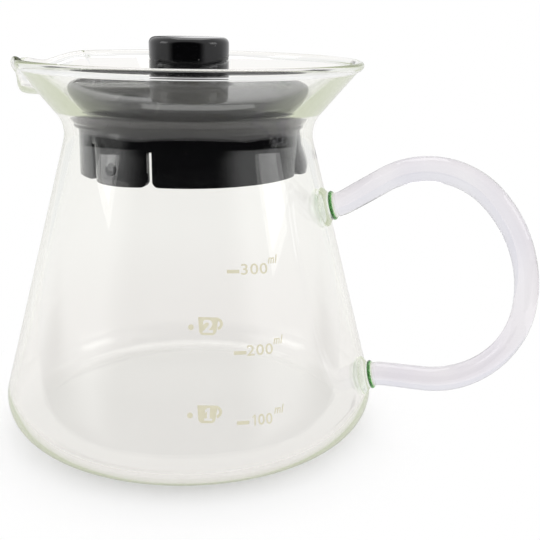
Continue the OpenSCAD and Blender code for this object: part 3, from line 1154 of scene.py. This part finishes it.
def pale_paper():
    """Matt paper with a fine grain, which keeps the object's shadow. Far from the object the camera
    sees it as plain white, and what is seen through glass is as bright as the room. Near the object
    the glow seen through glass is darker and warmer: painted shade under the glass."""
    material, tree, out = blank_material("pale_paper")
    place = node(tree, "ShaderNodeTexCoord")
    path = node(tree, "ShaderNodeLightPath")
    grain = node(tree, "ShaderNodeTexNoise", Scale=900.0, Detail=4.0)
    join(tree, place, "Object", grain, "Vector")
    paper = node(tree, "ShaderNodeBsdfDiffuse")
    tone = colour_mix(tree, path, "Is Camera Ray", (0.8, 0.795, 0.785), (0.95, 0.945, 0.94))
    tree.links.new(tone, paper.inputs["Color"])
    raised(tree, grain, "Fac", paper, strength=0.1, distance=0.00005)

    away = node(tree, "ShaderNodeVectorMath", operation="LENGTH")
    join(tree, place, "Object", away, 0)
    far = ranged(tree, away, "Value", before=(0.06, 0.26), soft=True)
    fade = ranged(tree, away, "Value", before=(0.03, 0.078), soft=True)
    bright = ranged(tree, far, "Result", after=(0.85, 0.97))
    glow = node(tree, "ShaderNodeEmission")
    # Painted shade: near the object the glow seen through glass takes a darker, warmer colour than
    # far away.
    through = colour_mix(tree, far, "Result", (0.95, 0.918, 0.91), (1.0, 0.985, 0.975))
    glow_colour = colour_mix(tree, path, "Is Transmission Ray", WHITE, through)
    tree.links.new(glow_colour, glow.inputs["Color"])

    seen_plain = maths(tree, "MULTIPLY", (fade, "Result"), (path, "Is Camera Ray"))
    seen_through = maths(tree, "MULTIPLY", (path, "Is Transmission Ray"), (bright, "Result"))
    only_seen = maths(tree, "MAXIMUM", (seen_plain, "Value"), (seen_through, "Value"))
    mix = node(tree, "ShaderNodeMixShader")
    join(tree, only_seen, "Value", mix, 0)
    join(tree, paper, "BSDF", mix, 1)
    join(tree, glow, "Emission", mix, 2)
    join(tree, mix, "Shader", out, "Surface")
    return material


def paper_sweep():
    """The pale sheet under the object. Its front edge lies near, and it runs far back."""
    bm = bmesh.new()
    right = level_way(90)
    back = level_way(0)
    steps = 24
    near_left, near_right, far_right, far_left = (Vector(corner) for corner in PAPER_CORNERS)
    grid = []
    for i in range(steps + 1):
        near = near_left.lerp(near_right, i / steps)
        far = far_left.lerp(far_right, i / steps)
        row = []
        for j in range(steps + 1):
            place = near.lerp(far, j / steps)
            level = right * place.x + back * place.y
            row.append(bm.verts.new(level - Vector((0, 0, PAPER_DROP))))
        grid.append(row)
    for i in range(steps):
        for j in range(steps):
            bm.faces.new((grid[i][j], grid[i + 1][j], grid[i + 1][j + 1], grid[i][j + 1]))
    sheet = finished("paper_sheet", bm, None)
    sheet.data.materials.append(pale_paper())
    return sheet


def facing(tree, direction, way, low, high):
    """1 where a direction of the room lies along a way, 0 where it turns from it."""
    dot = node(tree, "ShaderNodeVectorMath", operation="DOT_PRODUCT")
    join(tree, direction, "Generated", dot, 0)
    dot.inputs[1].default_value = way
    return ranged(tree, dot, "Value", before=(low, high), soft=True)


def studio_room():
    """A pale room. What is mirrored in the object also shows a dim side before it and a dark panel
    at the back on the left. The camera itself sees plain white."""
    world = bpy.data.worlds.new("studio")
    bpy.context.scene.world = world
    world.use_nodes = True
    tree = world.node_tree
    tree.nodes.clear()
    out = node(tree, "ShaderNodeOutputWorld")
    direction = node(tree, "ShaderNodeTexCoord")
    path = node(tree, "ShaderNodeLightPath")

    front = facing(tree, direction, level_way(188), low=0.5, high=0.82)
    floor = facing(tree, direction, Vector((0, 0, -1)), low=-0.02, high=0.05)
    back = facing(tree, direction, level_way(0), low=0.1, high=0.5)
    not_back = maths(tree, "SUBTRACT", 1.0, (back, "Result"))
    near_floor = maths(tree, "MULTIPLY", (floor, "Result"), (not_back, "Value"))
    dim_before = maths(tree, "MAXIMUM", (front, "Result"), (near_floor, "Value"))
    panel_way = level_way(-8.5) + Vector((0, 0, 0.1))
    panel = facing(tree, direction, panel_way, low=0.991, high=0.9975)
    dim = maths(tree, "MAXIMUM", (dim_before, "Value"), (panel, "Result"))
    mirrored = maths(tree, "GREATER_THAN", (path, "Glossy Depth"), 0.5)
    dim_mirrored = maths(tree, "MULTIPLY", (dim, "Value"), (mirrored, "Value"))

    pale = colour_mix(tree, path, "Is Transmission Ray", (0.9, 0.9, 0.91), (0.92, 0.92, 0.925))
    room = colour_mix(tree, dim_mirrored, "Value", pale, (0.02, 0.02, 0.022))
    light = node(tree, "ShaderNodeBackground")
    tree.links.new(colour_mix(tree, path, "Is Camera Ray", room, WHITE), light.inputs["Color"])
    join(tree, light, "Background", out, "Surface")


# Putting it together ----------------------------------------------------------------------------

studio_camera()
studio_room()
paper_sweep()
soft_box("left_box", way=-100, distance=0.9, height=0.45, size=0.4, power=1.0)
soft_box("right_box", way=105, distance=0.9, height=0.4, size=0.4, power=0.9)
soft_box("top_box", way=5, distance=0.35, height=1.0, size=0.6, power=2.2)

vessel_glass = clear_glass(
    "vessel_glass",
    tint=(0.985, 0.99, 0.985),
    depth_colour=(0.45, 0.5, 0.22),
    density=16.0,
    wave_scale=45.0,
    wave_height=0.00006,
    smudge=0.03,
    bend=GLASS_BEND,
)
rod_glass = clear_glass(
    "rod_glass",
    tint=(0.79, 0.775, 0.855),
    depth_colour=(0.55, 0.55, 0.66),
    density=6.0,
    wave_scale=90.0,
    wave_height=0.00012,
    smudge=0.05,
    bend=GLASS_BEND,
)
foot_glass = clear_glass(
    "weld_glass",
    tint=(0.98, 0.99, 0.98),
    depth_colour=(0.4, 0.65, 0.3),
    density=12.0,
    wave_scale=250.0,
    wave_height=0.00008,
    smudge=0.04,
    bend=WELD_GLASS_BEND,
)
ring_glass = clear_glass(
    "weld_ring_glass",
    tint=(0.6, 0.78, 0.6),
    depth_colour=(0.16, 0.5, 0.12),
    density=420.0,
    wave_scale=300.0,
    wave_height=0.0001,
    smudge=0.05,
    bend=WELD_GLASS_BEND,
)
lid_black = black_plastic()
scale_enamel = cream_enamel()

vessel = blown_vessel()
vessel.data.materials.append(vessel_glass)
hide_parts("glass_vessel")

rod = bent_handle()
rod.data.materials.append(rod_glass)
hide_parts("handle")

for weld, weld_height in (("upper_weld", UPPER_WELD_HEIGHT), ("lower_weld", LOWER_WELD_HEIGHT)):
    foot = weld_piece(weld + "_foot", weld_height, WELD_FOOT_ROWS)
    foot.data.materials.append(foot_glass)
    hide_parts(weld)
    ring = weld_piece(weld + "_ring", weld_height, WELD_RING_ROWS)
    ring.data.materials.append(ring_glass)

lid_pieces = ((lid_plate(), "lid_plate"), (lid_knob(), "lid_knob"), (lid_skirt(), "lid_skirt"))
for piece, cad_node in lid_pieces:
    piece.data.materials.append(lid_black)
    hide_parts(cad_node)

for mark in printed_scale():
    mark.data.materials.append(scale_enamel)

bpy.context.scene.view_settings.view_transform = "Standard"
